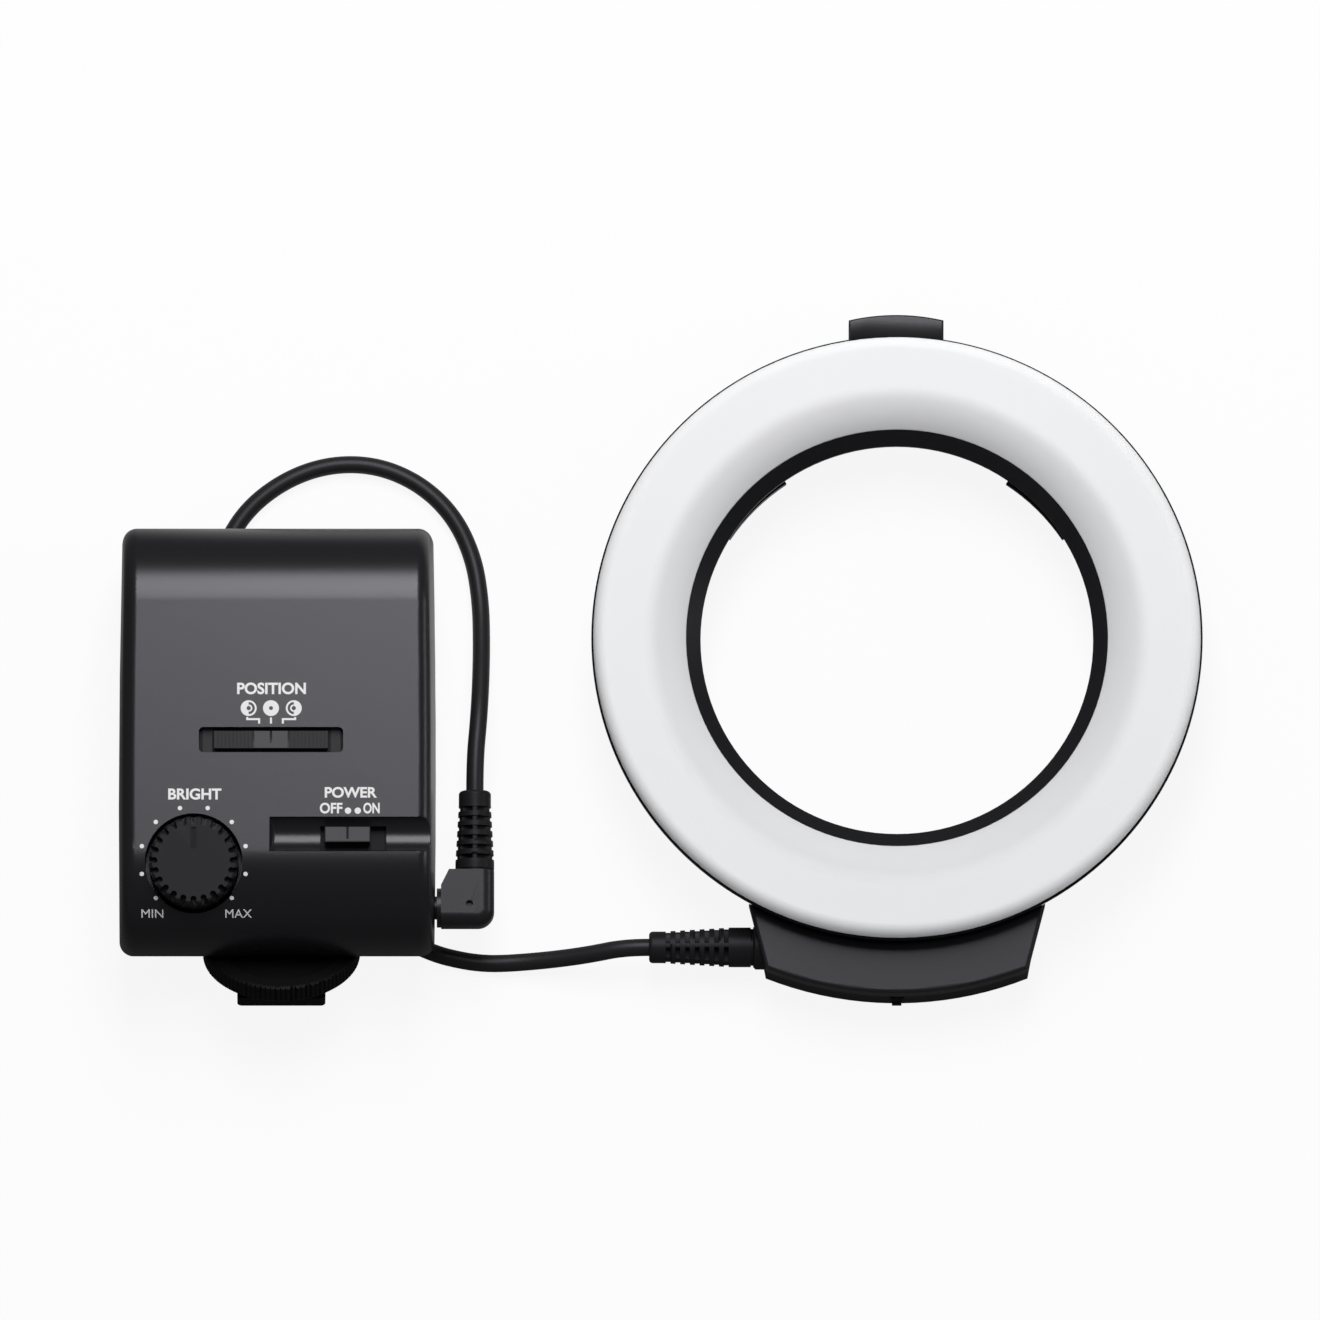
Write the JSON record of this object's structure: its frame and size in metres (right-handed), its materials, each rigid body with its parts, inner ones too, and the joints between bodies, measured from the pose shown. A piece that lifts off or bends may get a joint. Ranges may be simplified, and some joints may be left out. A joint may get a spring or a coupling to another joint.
{
  "type": "macro ring light",
  "caption": "Ring-shaped macro light with a milky diffuser, joined by a cord to a battery controller with a dial, slide switches and an accessory-shoe foot.",
  "frame": {"origin": "on the ring's axis, in the plane of the ring's rear face", "axes": "+Z from the rear faces towards the diffuser and the control panel, +Y towards the ring's release button and the controller's crown, +X from the controller towards the ring"},
  "size_m": [0.229, 0.149, 0.0422],
  "materials": {
    "case_grey": "fine spark texture, satin",
    "ring_black": "fine texture, satin",
    "base_grey": "smooth satin",
    "diffuser_milk": "milky, semi-gloss",
    "reflector_white": "matt white",
    "board_green": "solder mask",
    "led_phosphor": "clear resin over yellow phosphor",
    "spring_steel": "rolled sheet",
    "screw_steel": "zinc plated",
    "cord_rubber": "smooth matt jacket",
    "relief_rubber": "moulded matt",
    "plug_black": "moulded satin",
    "pin_metal": "polished",
    "control_black": "satin",
    "slot_black": "matt",
    "wheel_black": "satin, knurled rim",
    "foot_metal": "black paint, satin",
    "cell_wrap": "plain printed wrap, gloss",
    "part_black": "moulded component body",
    "can_metal": "sleeved can",
    "coil_wire": "enamelled winding",
    "ribbon_grey": "flat jacket"
  },
  "bodies": {
    "light": {"ring_rear_shell": "ring_black", "inner_bezel": "ring_black", "diffuser": "diffuser_milk", "reflector": "reflector_white", "led_board": "board_green", "leds": "led_phosphor", "board_screws": "screw_steel", "base_front_cover": "base_grey", "rear_screws": "screw_steel", "terminal_board": "board_green", "head_ribbon": "ribbon_grey", "cable_collar": "plug_black", "head_strain_relief": "relief_rubber", "cord": "cord_rubber", "plug_strain_relief": "relief_rubber", "plug_body": "plug_black", "plug_pin": "pin_metal", "power_jack": "part_black", "controller_front_shell": "case_grey", "controller_rear_shell": "case_grey", "control_board": "board_green", "driver_coil": "coil_wire", "capacitors": "can_metal", "driver_chip": "part_black", "brightness_potentiometer": "part_black", "position_slot_plate": "slot_black", "position_switch": "part_black", "power_slot_plate": "slot_black", "power_switch": "part_black", "upper_battery": "cell_wrap", "lower_battery": "cell_wrap", "battery_contacts": "spring_steel", "shell_screws": "screw_steel", "foot_stem": "wheel_black", "shoe_foot": "foot_metal", "foot_screw": "screw_steel"},
    "dial": {"brightness_dial": "control_black", "dial_shaft": "spring_steel"},
    "position_slide": {"position_slider": "control_black", "position_switch_lever": "spring_steel"},
    "power_slide": {"power_slider": "control_black", "power_switch_lever": "spring_steel"},
    "release": {"release_button": "ring_black", "latch_frame": "spring_steel", "release_spring": "spring_steel"},
    "clamp": {"clamp_plate": "foot_metal"},
    "wheel": {"lock_wheel": "wheel_black"},
    "battery_door": {"battery_door": "case_grey"}
  },
  "joints": [
    {"name": "brightness_turn", "type": "hinge", "parent": "light", "child": "dial", "pos_m": [-0.1482, -0.0507, 0.036], "axis": [0, 0, 1], "range_deg": [-135, 135]},
    {"name": "position_travel", "type": "slide", "parent": "light", "child": "position_slide", "axis": [1, 0, 0], "range_m": [-0.0023, 0.0023]},
    {"name": "power_travel", "type": "slide", "parent": "light", "child": "power_slide", "axis": [1, 0, 0], "range_m": [0, 0.0023]},
    {"name": "release_press", "type": "slide", "parent": "light", "child": "release", "axis": [0, -1, 0], "range_m": [0, 0.0019], "stiffness_N_per_m": 400, "springref_m": -0.0005},
    {"name": "clamp_travel", "type": "slide", "parent": "light", "child": "clamp", "axis": [0, -0.7071, -0.7071], "range_m": [0, 0.0023]},
    {"name": "wheel_turn", "type": "hinge", "parent": "clamp", "child": "wheel", "pos_m": [-0.13005, -0.0631, 0.0152], "axis": [0, -0.7071, -0.7071], "range_deg": [0, 415]},
    {"name": "door_slide", "type": "slide", "parent": "light", "child": "battery_door", "axis": [-1, 0, 0], "range_m": [0, 0.058]}
  ],
  "couplings": [
    {"joint": "wheel_turn", "follows": "clamp_travel", "rad_per_m": 3141.6}
  ]
}
